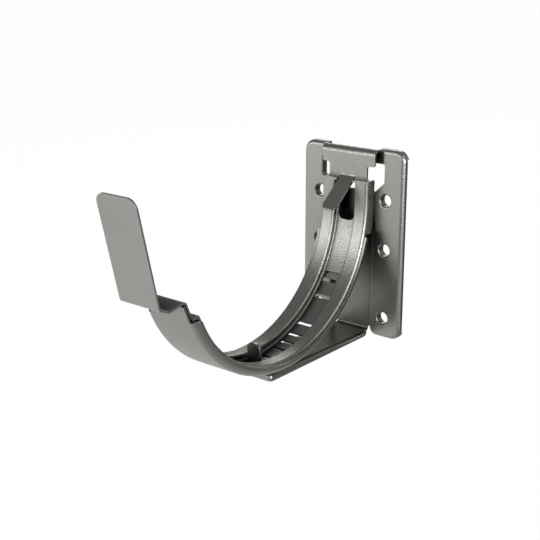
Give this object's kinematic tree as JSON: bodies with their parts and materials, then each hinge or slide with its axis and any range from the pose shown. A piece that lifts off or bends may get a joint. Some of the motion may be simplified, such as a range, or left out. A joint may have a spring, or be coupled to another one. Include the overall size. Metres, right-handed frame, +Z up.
{
  "type": "gutter bracket",
  "caption": "Adjustable half-round gutter bracket: wall plate with strut, hooked arm with grooved cradle, sliding locking strap and fold-over front clip.",
  "frame": {"origin": "centre of the four corner screw holes of the back plate, on the wall plane", "axes": "+X along the gutter, -Y away from the wall, +Z up; the wall is the plane Y = 0"},
  "size_m": [0.0654, 0.1735, 0.1072],
  "materials": {
    "plate_steel": "satin",
    "arm_steel": "satin",
    "strap_steel": "satin",
    "clip_steel": "satin"
  },
  "bodies": {
    "root": {"back_plate": "plate_steel", "support_arm": "arm_steel", "slide_strap": "strap_steel", "front_clip": "clip_steel"}
  },
  "joints": []
}
